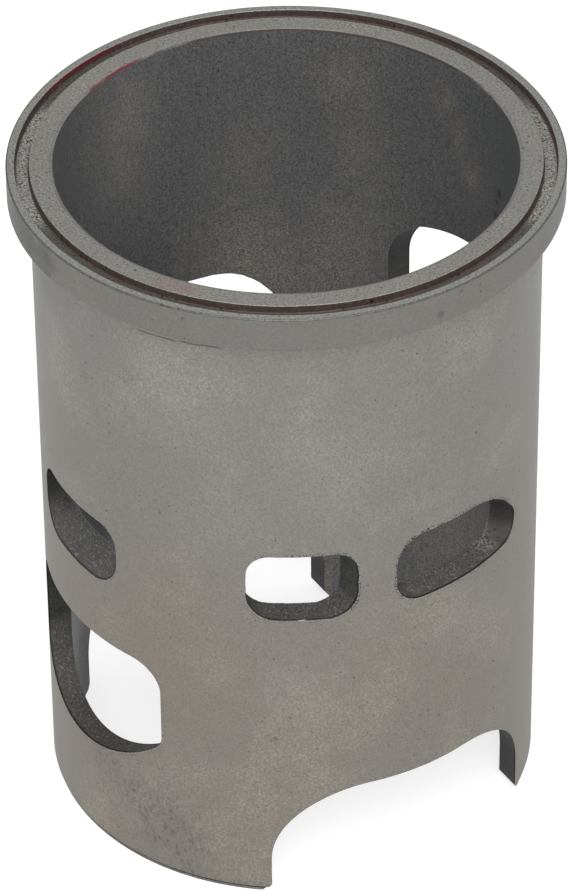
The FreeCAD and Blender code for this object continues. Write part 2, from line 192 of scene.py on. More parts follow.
# How far the cast outlines wave, and the radii of each outline's corners: roof and floor of the
# milled windows, and of the cast ports in the order of their corners.
RAGGED = 0.035 * MM
INTAKE_CORNERS = (4.5 * MM, 3.0 * MM)
EXHAUST_CORNERS = (8.0 * MM, 7.0 * MM)
BOOST_CORNERS = (5.0 * MM, 3.4 * MM, 3.4 * MM, 5.0 * MM)
AUX_CORNERS = (4.3 * MM, 3.5 * MM, 3.5 * MM, 4.3 * MM)
MAIN_CORNERS = (3.0 * MM, 3.0 * MM, 12.0 * MM, 4.5 * MM, 3.8 * MM)


def unit(vectors):
    """Vectors brought to a length of one."""
    return vectors / np.maximum(np.linalg.norm(vectors, axis=-1, keepdims=True), 1e-15)


def arc_points(centre, radius, start, end, count=24):
    """Points on a circle's arc: centre plus radius times cosine and sine of the turning angle."""
    turn = np.linspace(start, end, count)
    return np.stack((centre[0] + radius * np.cos(turn), centre[1] + radius * np.sin(turn)), 1)


def rounding(before, corner, after, radius, count):
    """Arc that touches both edges of a corner, with its centre and the angle that it sweeps.

    The centre lies on the bisector, radius over sine of half the corner's angle away from it.
    """
    back, ahead = unit(before - corner), unit(after - corner)
    half = math.acos(np.clip(back @ ahead, -1, 1)) / 2
    centre = corner + unit(back + ahead) * radius / math.sin(half)
    first = corner + back * radius / math.tan(half) - centre
    last = corner + ahead * radius / math.tan(half) - centre
    start = math.atan2(first[1], first[0])
    sweep = math.atan2(first[0] * last[1] - first[1] * last[0], first @ last)
    return arc_points(centre, radius, start, start + sweep, count), centre, sweep


def respaced(points, count, closed=True):
    """The same line with evenly spaced points: each coordinate read off along its length."""
    line = np.vstack((points, points[:1])) if closed else points
    run = np.concatenate(([0.0], np.cumsum(np.linalg.norm(np.diff(line, axis=0), axis=1))))
    places = np.linspace(0.0, run[-1], count, endpoint=not closed)
    return np.stack([np.interp(places, run, line[:, axis]) for axis in (0, 1)], 1)


def window_outline(half, top, bottom, corners, arch, sag):
    """Window with upright sides, counter-clockwise.

    Its top and bottom are arcs that bow by arch and by sag, or straight where that is nothing.
    A corner's circle lies a radius inside the upright side and inside the bowed edge's circle.
    """
    parts = []
    for end, radius, bow, way in ((top, corners[0], arch, 1), (bottom, corners[1], sag, -1)):
        across = half - radius
        middle = np.empty((0, 2))
        if bow > 0:
            big = (half**2 + bow**2) / (2 * bow)
            centre = end - way * big
            up = centre + way * math.sqrt((big - radius) ** 2 - across**2)
            lift = math.atan2(abs(up - centre), across)
            middle = arc_points((0.0, centre), big, way * lift, way * (math.pi - lift), 60)[1:-1]
        else:
            up = end - way * radius
            lift = math.pi / 2
        right = arc_points((across, up), radius, 0.0, way * lift)
        ring = np.vstack((right, middle, right[::-1] * (-1, 1)))
        parts.append(ring[::way])
    return respaced(np.vstack(parts), OUTLINE_POINTS)


def rounded_polygon(corners, radii):
    """Polygon or open line, with an arc in place of each corner that has a radius."""
    corners = np.asarray(corners, float)
    pieces = []
    for index, radius in enumerate(radii):
        after = corners[(index + 1) % len(corners)]
        pieces.append(
            rounding(corners[index - 1], corners[index], after, radius, CORNER_POINTS)[0]
            if radius > 0 else corners[index][None]
        )
    return np.vstack(pieces)


def outward(line, closed=True):
    """Unit vectors square to a counter-clockwise line, pointing out of it."""
    if closed:
        ahead = np.roll(line, -1, 0) - np.roll(line, 1, 0)
    else:
        ahead = np.gradient(line, axis=0)
    return unit(np.stack((ahead[:, 1], -ahead[:, 0]), 1))


def ragged(line, seed):
    """Line with small waves across it: sines of random pitch and phase along the line."""
    rng = np.random.default_rng(seed)
    along = np.linspace(0, 2 * math.pi, len(line), endpoint=False)
    pitch = rng.integers(9, 46, 14)
    wave = np.sin(np.outer(along, pitch) + rng.uniform(0, 2 * math.pi, 14)) / np.sqrt(pitch)
    return line + outward(line) * (RAGGED * wave.sum(1))[:, None]


def on_cylinder(turn, radius, height):
    """Place at an angle from -Y towards +X, a radius and a height."""
    turn, radius, height = np.broadcast_arrays(turn, radius, height)
    return np.stack((radius * np.sin(turn), -radius * np.cos(turn), height), -1)


def grid_normals(points, closed):
    """Normals of a grid: cross product of its slopes along rows and along columns."""
    if closed:
        wide = np.concatenate((points[:, -1:], points, points[:, :1]), 1)
        across = (wide[:, 2:] - wide[:, :-2]) / 2
    else:
        across = np.gradient(points, axis=1)
    return unit(np.cross(across, np.gradient(points, axis=0)))


class Shell:
    """Grids of points that are welded into one closed surface."""

    def __init__(self):
        self.points, self.normals, self.near = [], [], []
        self.faces, self.zones = [], []
        self.count = 0

    def add(self, points, normals, zone, closed=False, near=EDGE_REACH):
        """Add a grid. Its faces are turned so that they look the way of its normals."""
        rows, columns = points.shape[:2]
        index = np.arange(rows * columns).reshape(rows, columns)
        if closed:
            index = np.concatenate((index, index[:, :1]), 1)
        quads = np.stack((index[:-1, :-1], index[:-1, 1:], index[1:, 1:], index[1:, :-1]), -1)
        self.zones.append(np.broadcast_to(zone, quads.shape[:2]).reshape(-1))
        quads = quads.reshape(-1, 4)
        flat, flat_normals = points.reshape(-1, 3), normals.reshape(-1, 3)
        one, two = flat[quads[:, 2]] - flat[quads[:, 0]], flat[quads[:, 3]] - flat[quads[:, 1]]
        facing = np.einsum("ij,ij->i", np.cross(one, two), flat_normals[quads].sum(1))
        if facing.sum() < 0:
            quads = quads[:, ::-1]
        self.points.append(flat)
        self.normals.append(flat_normals)
        self.near.append(np.broadcast_to(near, (rows, columns)).reshape(-1))
        self.faces.append(quads + self.count)
        self.count += len(flat)

    def mesh(self, name, materials):
        """Weld the grids, drop the faces that have shrunk to nothing and write the mesh."""
        points, normals, near, quads, zones = (
            np.concatenate(part)
            for part in (self.points, self.normals, self.near, self.faces, self.zones)
        )
        cells = np.floor((points + WELD_SHIFT * WELD) / WELD).astype(np.int64)
        _, first, welded = np.unique(cells, axis=0, return_index=True, return_inverse=True)
        corner = welded.reshape(-1)[quads]
        kept = corner != np.roll(corner, 1, axis=1)
        good = (kept.sum(1) >= 3) & (corner[:, :2] != corner[:, 2:]).all(1)
        kept, corner, quads, zones = kept[good], corner[good], quads[good], zones[good]
        sides = kept.sum(1)
        loops = corner[kept]
        starts = np.concatenate(([0], np.cumsum(sides)[:-1]))

        mesh = bpy.data.meshes.new(name)
        mesh.vertices.add(len(first))
        mesh.vertices.foreach_set("co", points[first].astype(np.float32).reshape(-1))
        mesh.loops.add(len(loops))
        mesh.loops.foreach_set("vertex_index", loops.astype(np.int32))
        mesh.polygons.add(len(sides))
        mesh.polygons.foreach_set("loop_start", starts.astype(np.int32))
        mesh.polygons.foreach_set("material_index", zones.astype(np.int32))
        mesh.update(calc_edges=True)
        attribute = mesh.attributes.new("port_edge", "FLOAT", "POINT")
        attribute.data.foreach_set("value", near[first].astype(np.float32))
        for material in materials:
            mesh.materials.append(material)
        mesh.polygons.foreach_set("use_smooth", np.ones(len(sides), bool))
        mesh.normals_split_custom_set(normals[quads[kept]])
        if mesh.validate():
            raise RuntimeError("the liner's mesh had faults")
        return mesh


def skin_radii(sleeve):
    """Radii of the two skins, outside and in the bore."""
    return sleeve.bore + sleeve.wall, sleeve.bore


def ring_shares():
    """Shares of the way from a port's outline to its block's sides, closer near the port."""
    return (np.arange(RINGS + 1) / RINGS) ** 1.5


def block_lines(block, low, band):
    """Angles of a block's columns, heights of its rows, and its top line."""
    high, rows = band
    columns = np.arange(block[0], block[1] + 1) * COLUMN
    heights = low + (high - low) * np.arange(rows + 1) / rows
    return columns, heights, np.stack((columns, np.full(len(columns), high)), 1)


def upright_line(turn, heights):
    """Points at one angle and several heights."""
    return np.stack((np.full(len(heights), turn), heights), 1)


def matched(outline, sides):
    """Where along an outline the rays from its middle to a block's sides leave it.

    Both are first scaled to a square of their own, so that corners go to corners.
    """
    bearings = []
    for line in (outline, sides):
        low, high = line.min(0), line.max(0)
        scaled = (line - (low + high) / 2) / (high - low)
        bearings.append(np.arctan2(scaled[:, 1], scaled[:, 0]))
    own = np.unwrap(bearings[0])
    wanted = own[0] + (bearings[1] - own[0]) % (2 * math.pi)
    own = np.append(own, own[0] + 2 * math.pi)
    return np.interp(wanted, own, np.arange(len(own)))


def read_at(values, places):
    """Values of a line at fractional places along it."""
    whole = np.floor(places).astype(int)
    share = (places - whole)[:, None]
    size = len(values)
    return values[whole % size] * (1 - share) + values[(whole + 1) % size] * share


def wall_shares(first):
    """Shares of the way through the wall at which a strip has its rows."""
    return np.concatenate(([0.0], np.linspace(first, 1.0, 6)))


def rounded_strip(skin_out, edge_out, edge_in, skin_in, reach, first):
    """Strip through the wall, from one skin over two rounded edges to the other.

    A rounded edge is a quadratic curve from the skin to the wall with the sharp edge as its
    control point. Between them the wall is straight.
    """
    way = unit(edge_in - edge_out) * reach[:, None]
    start, end = edge_out + way, edge_in - way
    bends = [
        [(1 - share) ** 2 * one + 2 * share * (1 - share) * two + share**2 * three
         for share in np.linspace(0, 1, EDGE_ROWS)]
        for one, two, three in ((skin_out, edge_out, start), (end, edge_in, skin_in))
    ]
    wall = [start + (end - start) * share for share in wall_shares(first)[1:-1]]
    return np.stack(bends[0] + wall + bends[1])


def add_strip(shell, skins, edges, reach, closed, first=1 / 6):
    """The strip through the wall, with its normals tied to those of the skins it meets."""
    strip = rounded_strip(skins[0][0], edges[0], edges[1], skins[1][0], reach, first)
    normals = grid_normals(strip, closed)
    towards = edges[0].mean(0) if closed else edges[0].mean(0) * (1, 1, 0)
    half = len(strip) // 2
    if np.einsum("ij,ij->i", normals[half], towards - strip[half]).sum() < 0:
        normals = -normals
    normals[0], normals[-1] = skins[0][1], skins[1][1]
    run = np.cumsum(np.linalg.norm(np.diff(strip, axis=0), axis=2), 0)
    depth = np.concatenate((np.zeros((1, strip.shape[1])), run))
    shell.add(strip, normals, STRIP_ZONES, closed, -depth)


def add_skin(shell, skin, radius, flat, offset, places, end, closed, side):
    """Grid on one skin, from an opening's rounded edge out to the sides of its block.

    A row is the rounded edge times one minus its share, plus the sides times its share. The first
    row with its normals and the sharp edge come back.
    """
    sharp = read_at(flat, places)
    share = ring_shares()[:, None, None]
    rings = read_at(offset, places) * (1 - share) + end * share
    rings[-1] = end
    near = np.minimum(np.linalg.norm(rings - sharp, axis=-1), EDGE_REACH)
    turn = side * rings[..., 0] / radius
    points = on_cylinder(turn, radius, rings[..., 1])
    normals = on_cylinder(turn, 1.0, 0.0) * (1 - 2 * skin)
    shell.add(points, normals, (WALL, BORE)[skin], closed, near)
    return (points[0], normals[0]), on_cylinder(side * sharp[:, 0] / radius, radius, sharp[:, 1])


def add_port(shell, sleeve, outlines, block, low, band, side):
    """One port: a grid on each skin round it and the strip through the wall between them.

    The outlines hold the port's edge on the two skins, as angle and height.
    """
    columns, heights, top = block_lines(block, low, band)
    sides = np.vstack((
        np.stack((columns[:-1], np.full(len(columns) - 1, low)), 1),
        upright_line(columns[-1], heights[:-1]), top[:0:-1],
        upright_line(columns[0], heights[:0:-1]),
    ))
    places = matched(outlines[0], sides)
    skins, edges = [], []
    for skin, radius in enumerate(skin_radii(sleeve)):
        flat = outlines[skin] * (radius, 1.0)
        offset = flat + outward(flat) * sleeve.port_edge
        end = sides * (radius, 1.0)
        first, edge = add_skin(shell, skin, radius, flat, offset, places, end, True, side)
        skins.append(first)
        edges.append(edge)
    add_strip(shell, skins, edges, np.full(len(places), sleeve.port_edge), True)


def add_plain(shell, sleeve, block, low, highs, rows, closed=False):
    """Unpierced block of both skins."""
    columns = np.arange(block[0], block[1] + (0 if closed else 1)) * COLUMN
    for skin, radius in enumerate(skin_radii(sleeve)):
        heights = low + (highs[skin] - low) * np.arange(rows + 1) / rows
        turn, height = np.meshgrid(columns, heights)
        normals = on_cylinder(turn, 1.0, 0.0) * (1 - 2 * skin)
        shell.add(on_cylinder(turn, radius, height), normals, (WALL, BORE)[skin], closed)


def mouth_spread(ports, height):
    """Half width of a notch at a height below its lip."""
    return ports.notch_half + MOUTH * (1 - height / LIP)


def add_notch(shell, sleeve, ports, side):
    """One notch of the skirt: grids round its arch on both skins and the strip between them.

    Its outline runs from the foot up over its roof and down again, and its angle on a skin is the
    arc cosine of its half width over the radius.
    """
    low, half, roof = sleeve.step_height, ports.notch_half, ports.notch_height
    columns, heights, top = block_lines(BLOCKS["notch"], low, LOWER_BAND)
    sides = np.vstack((
        upright_line(columns[0], heights[:-1]), top, upright_line(columns[-1], heights[-2::-1])
    ))
    spread = mouth_spread(ports, low)
    corners = [
        (-spread, low), (-half, LIP), (-half, roof), (half, roof), (half, LIP), (spread, low)
    ]
    bends = [0, 0, ports.notch_corner, ports.notch_corner, 0, 0]
    plane = respaced(rounded_polygon(corners, bends), NOTCH_POINTS, closed=False)
    skins, edges = [], []
    for skin, radius in enumerate(skin_radii(sleeve)):
        outline = np.stack((np.arccos(-plane[:, 0] / radius), plane[:, 1]), 1)
        if skin == 0:
            centre = (math.pi / 2, low)
            own = (outline - centre) / (outline[-1, 0] - centre[0], roof)
            wanted = (sides - centre) / (columns[-1] - centre[0], LOWER_BAND[0])
            bearing = np.arctan2(own[:, 1], own[:, 0])[::-1]
            target = np.arctan2(wanted[:, 1], wanted[:, 0])
            places = np.interp(target, bearing, np.arange(len(bearing))[::-1])
            places[0], places[-1] = 0, len(bearing) - 1
        flat = outline * (radius, 1.0)
        taper = np.clip((flat[:, 1] - low) / TAPER, 0, 1)
        offset = flat - outward(flat, False) * (taper * sleeve.port_edge)[:, None]
        end = sides * (radius, 1.0)
        first, edge = add_skin(shell, skin, radius, flat, offset, places, end, False, side)
        skins.append(first)
        edges.append(edge)
    reach = np.interp(places, np.arange(len(taper)), taper) * sleeve.port_edge
    add_strip(shell, skins, edges, reach, False, step_share(sleeve, ports))


def step_share(sleeve, ports):
    """Share of the way through the wall, along a notch's mouth, that the foot's step takes up."""
    depths = np.array((0, sleeve.step_depth, sleeve.wall))
    spread = mouth_spread(ports, sleeve.step_height)
    run = np.sqrt((sleeve.bore + sleeve.wall - depths) ** 2 - spread**2)
    return (run[0] - run[1]) / (run[0] - run[2])


def add_foot(shell, sleeve, ports, middle):
    """Foot of one leg: relieved band, foot face and bore chamfer, carried from notch to notch.

    Every row ends on the notches' flared mouths, so its angle there follows from its radius:
    arc cosine of the mouth's half width at that height over the radius.
    """
    (out, inn), foot = skin_radii(sleeve), sleeve.step_height
    block = BLOCKS["intake"][1]
    waist = out - sleeve.step_depth
    profile = [
        (out, foot), (waist, foot), (waist, 0.0), (inn + sleeve.chamfer, 0.0),
        (inn, sleeve.chamfer), (inn, foot),
    ]

    def half_turn(radius, height):
        return math.acos(mouth_spread(ports, height) / radius)

    shares = []
    for radius in (out, inn):
        edge = half_turn(radius, foot)
        side = edge + (block * COLUMN - edge) * ring_shares()
        inside = np.arange(-block, block + 1) * COLUMN
        shares.append(np.concatenate((-side[:-1], inside, side[-2::-1])) / edge)
    rings = []
    for index, ends in enumerate(zip(profile[:-1], profile[1:])):
        (r0, z0), (r1, z1) = ends
        square = np.array((z0 - z1, r1 - r0)) / math.hypot(r1 - r0, z1 - z0)
        points, normals = [], []
        for radius, height in ends:
            weight = (out - radius) / (out - inn)
            share = shares[0] * (1 - weight) + shares[1] * weight
            turn = middle + share * half_turn(radius, height)
            points.append(on_cylinder(turn, radius, height))
            normals.append(on_cylinder(turn, square[0], square[1]))
        shell.add(np.stack(points), np.stack(normals), BORE if index == 4 else FOOT)
        rings += points if index == 0 else points[1:]
    for column in (0, -1):
        ring = np.stack([row[column] for row in rings])
        wall = ring[0] + (ring[5] - ring[0]) * wall_shares(step_share(sleeve, ports))[:, None]
        square = unit(np.cross(ring[3] - ring[5], ring[2] - ring[5]))
        square = square * -np.sign(square[1] * ring[0][1])
        # Triangles between the strip's rows on the wall and the foot's profile below them.
        for one, two, three in (
            (wall[1], wall[2], ring[2]), (wall[2], wall[3], ring[2]), (wall[3], ring[3], ring[2]),
            (wall[3], wall[4], ring[3]), (wall[4], wall[5], ring[3]), (wall[5], ring[4], ring[3]),
            (wall[5], wall[6], ring[4]),
        ):
            grid = np.array(((one, two), (three, three)))
            shell.add(grid, np.broadcast_to(square, grid.shape), CAST)


def add_crown(shell, sleeve, low_out, high_in):
    """Flange, rim, gasket groove and deck: one profile of radius and height, turned full circle.

    It runs up the outside and in over the deck, so outwards is on its right-hand side: away from
    the centre of an arc that turns left, and towards the centre of one that turns right.
    """
    (out, inn), top, edge = skin_radii(sleeve), sleeve.height, sleeve.edge
    seat = top - sleeve.flange_height
    rim = sleeve.flange - sleeve.rim
    land = rim - sleeve.groove
    pit = top - sleeve.groove_depth
    # Each corner: radius, height, its rounding, zone of the rounding, zone of the way to the next.
    corners = (
        (out, low_out, 0, FLANGE, FLANGE),
        (out, seat, sleeve.neck, FLANGE, FLANGE),
        (sleeve.flange, seat, edge, FLANGE, FLANGE),
        (sleeve.flange, top, edge, DECK, DECK),
        (rim, top, 0.4 * edge, DECK, GROOVE),
        (rim, pit, 0.9 * edge, GROOVE, GROOVE_FLOOR),
        (land, pit, 0.9 * edge, GROOVE, GROOVE),
        (land, top, 0.4 * edge, DECK, DECK),
        (inn + sleeve.chamfer, top, 0.4 * edge, DECK, CHAMFER),
        (inn, top - sleeve.chamfer_drop, 0.4 * edge, CHAMFER, BORE),
        (inn, high_in, 0, BORE, BORE),
    )
    places = np.array([corner[:2] for corner in corners])
    line, square, zones = [places[0]], [(1.0, 0.0)], [corners[0][4]]
    for index in range(1, len(corners) - 1):
        radius, bend_zone, flat_zone = corners[index][2:]
        bend, centre, sweep = rounding(*places[index - 1:index + 2], radius, EDGE_ROWS)
        line.extend(bend)
        square.extend((bend - centre) / radius * math.copysign(1, sweep))
        zones += [bend_zone] * (EDGE_ROWS - 1) + [flat_zone]
    line, square = np.array([*line, places[-1]]), np.array([*square, (-1.0, 0.0)])
    turn = (np.arange(AROUND) * COLUMN)[None, :]
    points = on_cylinder(turn, line[:, :1], line[:, 1:])
    normals = on_cylinder(turn, square[:, :1], square[:, 1:])
    shell.add(points, normals, np.array(zones)[:, None], True)


def milled(sleeve, window, turned):
    """Window through the wall on both skins: its angle is arc sine of half width over radius."""
    return [
        np.stack((np.arcsin(window[:, 0] / radius), window[:, 1]), 1) + (turned, 0)
        for radius in skin_radii(sleeve)
    ]


def cast(sleeve, corners, radii, rise, lean, seed):
    """Cast port on both skins: in the bore it lies higher by the slope and turned by the lean."""
    flat = ragged(respaced(rounded_polygon(corners, radii), OUTLINE_POINTS), seed)
    outer = flat / (sleeve.bore + sleeve.wall, 1.0)
    return [outer, outer + (-lean, sleeve.wall * math.tan(rise))]


def port_outlines(sleeve, ports):
    """Every port's name, outline on both skins as angle and height, and side."""
    out, deck = sleeve.bore + sleeve.wall, sleeve.height
    roof = deck - ports.intake_depth
    window = window_outline(
        ports.intake_half, roof, roof - ports.intake_height, INTAKE_CORNERS, 0, ports.intake_sag
    )
    found = [("intake", milled(sleeve, window, 0), 1)]
    roof = deck - ports.exhaust_depth
    window = window_outline(
        ports.exhaust_half, roof, roof - ports.exhaust_height, EXHAUST_CORNERS,
        ports.exhaust_arch, 0,
    )
    found.append(("exhaust", milled(sleeve, window, math.pi), 1))
    roof = deck - ports.boost_depth
    floor = roof - ports.boost_height
    half = ports.boost_half * out
    box = [(half, floor), (half, roof), (-half, roof), (-half, floor)]
    found.append(("boost", cast(sleeve, box, BOOST_CORNERS, ports.boost_rise, 0.0, 3), 1))
    for side in (1, -1):
        roof = deck - ports.aux_depth
        floor = roof - ports.aux_height
        start, end = ports.aux_from * out, ports.aux_to * out
        box = [(end, floor), (end, roof), (start, roof), (start, floor)]
        shape = cast(sleeve, box, AUX_CORNERS, ports.aux_rise, ports.aux_lean, 5 + side)
        found.append(("aux", shape, side))
        roof = deck - ports.main_depth
        floor = roof - ports.main_height
        start, end = ports.main_from * out, ports.main_to * out
        box = [
            (end, floor), (end, roof - ports.shoulder_drop), (end - ports.shoulder_width, roof),
            (start, roof), (start, floor),
        ]
        shape = cast(sleeve, box, MAIN_CORNERS, ports.main_rise, ports.main_lean, 9 + side)
        found.append(("main", shape, side))
    return found


def build_shell(sleeve, ports):
    """All grids of the liner."""
    shell = Shell()
    foot, (lower, lower_rows), upper = sleeve.step_height, LOWER_BAND, PORT_BAND[0]
    for name, outlines, side in port_outlines(sleeve, ports):
        low, band = (foot, LOWER_BAND) if name == "intake" else (lower, PORT_BAND)
        add_port(shell, sleeve, outlines, BLOCKS[name], low, band, side)
    for side in (1, -1):
        add_notch(shell, sleeve, ports, side)
    add_plain(shell, sleeve, BLOCKS["back"], foot, (lower, lower), lower_rows)
    high_in = sleeve.height - CROWN_MARGIN
    low_out = high_in - sleeve.flange_height
    add_plain(shell, sleeve, (0, AROUND), upper, (low_out, high_in), PLAIN_ROWS, True)
    add_crown(shell, sleeve, low_out, high_in)
    for middle in (0.0, math.pi):
        add_foot(shell, sleeve, ports, middle)
    return shell


class Sheet:
    """A node tree, with short calls that lay nodes in it and join them up."""

    def __init__(self, tree):
        self.tree = tree

    def node(self, kind, settings=None, **inputs):
        """Lay a node. Inputs go by socket name, as a value or as the socket that feeds it."""
        node = self.tree.nodes.new("ShaderNode" + kind)
        for name, value in (settings or {}).items():
            setattr(node, name, value)
        for name, value in inputs.items():
            self.feed(node.inputs[name.replace("_", " ")], value)
        return node

    def feed(self, socket, value):
        """Join a socket to another, or set its value. A colour's alpha is one."""
        if isinstance(value, bpy.types.NodeSocket):
            self.tree.links.new(value, socket)
        else:
            socket.default_value = (*value, 1.0) if socket.type == "RGBA" else value

    def sum(self, operation, *values, clamp=False):
        """Result of a Math node."""
        node = self.node("Math", {"operation": operation, "use_clamp": clamp})
        for socket, value in zip(node.inputs, values):
            self.feed(socket, value)
        return node.outputs[0]

    def times(self, *values, clamp=False):
        """Product of two values."""
        return self.sum("MULTIPLY", *values, clamp=clamp)

    def scaled(self, value, factor, shift):
        """A value times a factor, plus a shift."""
        return self.sum("MULTIPLY_ADD", value, factor, shift)

    def vector(self, operation, one, two, out="Vector"):
        """Result of a Vector Math node."""
        node = self.node("VectorMath", {"operation": operation})
        self.feed(node.inputs[0], one)
        self.feed(node.inputs[3 if operation == "SCALE" else 1], two)
        return node.outputs[out]

    def size(self, vector):
        """Length of a vector."""
        return self.vector("LENGTH", vector, (0, 0, 0), "Value")

    def mix(self, factor, one, two, blend="MIX"):
        """Blend of two colours."""
        settings = {"data_type": "RGBA", "blend_type": blend}
        return self.node("Mix", settings, Factor=factor, A=one, B=two).outputs["Result"]

    def ease(self, value, start, end):
        """Smooth step from 0 at start to 1 at end; start may be the larger."""
        settings = {"interpolation_type": "SMOOTHSTEP"}
        return self.node("MapRange", settings, Value=value, From_Min=start, From_Max=end).outputs[0]

    def noise(self, vector, scale, detail=2.0, rough=0.5):
        """Value of a noise texture."""
        return self.node(
            "TexNoise", None, Vector=vector, Scale=scale, Detail=detail, Roughness=rough
        ).outputs["Fac"]

    def effect(self, group, **inputs):
        """Lay a node group with its own values."""
        return self.node("Group", {"node_tree": group}, **inputs).outputs


def new_group(name, inputs, outputs):
    """Empty node group with sockets.

    A number makes a value socket, three a vector and four a colour. The output named Colour is one.
    """
    tree = bpy.data.node_groups.new(name, "ShaderNodeTree")
    for title, value in inputs.items():
        many = len(value) if isinstance(value, tuple) else 1
        kind = {1: "Float", 3: "Vector", 4: "Color"}[many]
        socket = tree.interface.new_socket(title, in_out="INPUT", socket_type="NodeSocket" + kind)
        socket.default_value = value
    for title in outputs:
        kind = "NodeSocketColor" if title == "Colour" else "NodeSocketFloat"
        tree.interface.new_socket(title, in_out="OUTPUT", socket_type=kind)
    given = tree.nodes.new("NodeGroupInput").outputs
    return Sheet(tree), given, tree.nodes.new("NodeGroupOutput").inputs


def pit_group():
    """Pits: round cells of a Voronoi texture, of which a share is kept, each of its own size."""
    sheet, given, result = new_group(
        "pits", {"Vector": (0, 0, 0), "Scale": 500.0, "Size": 0.2, "Share": 0.2}, ["Mask"]
    )
    cells = sheet.node("TexVoronoi", None, Vector=given["Vector"], Scale=given["Scale"]).outputs
    chance = sheet.node("SeparateColor", None, Color=cells["Color"]).outputs
    size = sheet.times(given["Size"], sheet.scaled(chance[1], 0.9, 0.35))
    hole = sheet.ease(cells["Distance"], size, sheet.times(size, 0.45))
    kept = sheet.sum("LESS_THAN", chance[0], given["Share"])
    sheet.feed(result["Mask"], sheet.times(hole, kept))
    return sheet.tree


def spot_group():
    """Soft-edged spot, for stains and painted shade: distance from a centre, over a reach in each
    direction, made uneven.
    """
    sheet, given, result = new_group(
        "spot",
        {"Vector": (0, 0, 0), "Centre": (0, 0, 0), "Reach": (0.01, 0.01, 0.01), "Ragged": 0.5,
         "Waves": 0.5, "Core": 0.35},
        ["Mask"],
    )
    away = sheet.vector("SUBTRACT", given["Vector"], given["Centre"])
    distance = sheet.size(sheet.vector("DIVIDE", away, given["Reach"]))
    waves = sheet.times(sheet.sum("SUBTRACT", given["Waves"], 0.5), given["Ragged"])
    distance = sheet.scaled(waves, 4.0, distance)
    sheet.feed(result["Mask"], sheet.ease(distance, 1.0, given["Core"]))
    return sheet.tree


def edge_group():
    """Marks along port edges, from the stored distance: above 0 on the skins, below in the wall.

    A thin bright fringe of broken edge, a dark line of painted shade inside it where the edge turns
    into the wall, and short dark burrs across it.
    """
    sheet, given, result = new_group(
        "port_edge_marks", {"Vector": (0, 0, 0)}, ["Fringe", "Line", "Burr"]
    )
    stored = sheet.node("Attribute", {"attribute_type": "GEOMETRY", "attribute_name": "port_edge"})
    millimetres = sheet.times(stored.outputs["Fac"], 1000.0)
    # The line is painted shade where the rounded edge turns into the port.
    for name, *eases in (("Fringe", 0.42, 0.2, -0.06, 0.0), ("Line", 0.05, -0.02, -0.5, -0.2)):
        above, below = sheet.ease(millimetres, *eases[:2]), sheet.ease(millimetres, *eases[2:])
        sheet.feed(result[name], sheet.times(above, below))
    hairs = sheet.ease(sheet.noise(given["Vector"], 4600.0, 1.0), 0.42, 0.66)
    reach = sheet.scaled(hairs, 0.62, -0.02)
    sheet.feed(result["Burr"], sheet.sum("LESS_THAN", millimetres, reach))
    return sheet.tree


def iron_group(pits):
    """Aged iron: a base colour, clouds of lighter grain in it, a warm cast, pits and fine grain."""
    sheet, given, result = new_group(
        "aged_iron",
        {
            "Vector": (0, 0, 0), "Base": (0.2, 0.2, 0.2, 1), "Light": (0.3, 0.3, 0.3, 1),
            "Warm": (0.3, 0.25, 0.2, 1), "Cloud Scale": 60.0, "Cloud": 0.5, "Warmth": 0.4,
            "Grain Scale": 1800.0, "Grain": 0.2, "Pit Scale": 500.0, "Pit Size": 0.2,
            "Pit Share": 0.2, "Pit Dark": 0.7,
        },
        ["Colour", "Height"],
    )
    place = given["Vector"]
    cloud = sheet.ease(sheet.noise(place, given["Cloud Scale"], 4.0, 0.62), 0.44, 0.68)
    shifted = sheet.vector("ADD", place, (0.31, 0.17, 0.23))
    warm_scale = sheet.times(given["Cloud Scale"], 0.55)
    warm = sheet.ease(sheet.noise(shifted, warm_scale, 3.0, 0.55), 0.42, 0.66)
    grain = sheet.noise(place, given["Grain Scale"], 2.0, 0.65)
    share = sheet.times(cloud, sheet.scaled(sheet.ease(grain, 0.46, 0.66), 0.75, 0.25))
    share = sheet.times(share, given["Cloud"], clamp=True)
    colour = sheet.mix(sheet.times(warm, given["Warmth"]), given["Base"], given["Warm"])
    flecks = sheet.noise(shifted, sheet.times(given["Grain Scale"], 0.45), 1.0)
    tint = sheet.mix(sheet.ease(flecks, 0.44, 0.58), (1.03, 0.99, 0.92), (0.97, 1.01, 0.99))
    colour = sheet.mix(share, colour, sheet.mix(1.0, given["Light"], tint, "MULTIPLY"))
    swing = sheet.times(sheet.sum("SUBTRACT", grain, 0.5), given["Grain"])
    colour = sheet.vector("SCALE", colour, sheet.scaled(swing, 4.0, 1.0))
    small, big = (
        sheet.effect(pits, Vector=at, Scale=scale, Size=given["Pit Size"], Share=share)["Mask"]
        for at, scale, share in (
            (place, given["Pit Scale"], given["Pit Share"]),
            (sheet.vector("ADD", place, (0.7, 0.4, 0.2)), sheet.times(given["Pit Scale"], 0.62),
             sheet.times(given["Pit Share"], 0.3)),
        )
    )
    holes = sheet.sum("MAXIMUM", small, big)
    dark = sheet.scaled(sheet.times(holes, given["Pit Dark"]), -1.0, 1.0)
    sheet.feed(result["Colour"], sheet.vector("SCALE", colour, dark))
    sheet.feed(result["Height"], sheet.scaled(holes, -1.2, grain))
    return sheet.tree


def on_ring(turn, radius, height):
    """Place on the liner in metres, from degrees and millimetres."""
    place = on_cylinder(turn * DEG, radius * MM, height * MM)
    return tuple(float(value) for value in place)


# The aged iron's values that each finish sets, in the order of the table of finishes.
IRON_VALUES = (
    "Cloud Scale", "Cloud", "Warmth", "Grain Scale", "Grain", "Pit Scale", "Pit Size", "Pit Share",
    "Pit Dark",
)
# Radii in millimetres at which stains lie on the outer wall, the flange and the bore.
ON_WALL, ON_FLANGE, ON_BORE = 35.35, 38.4, 32
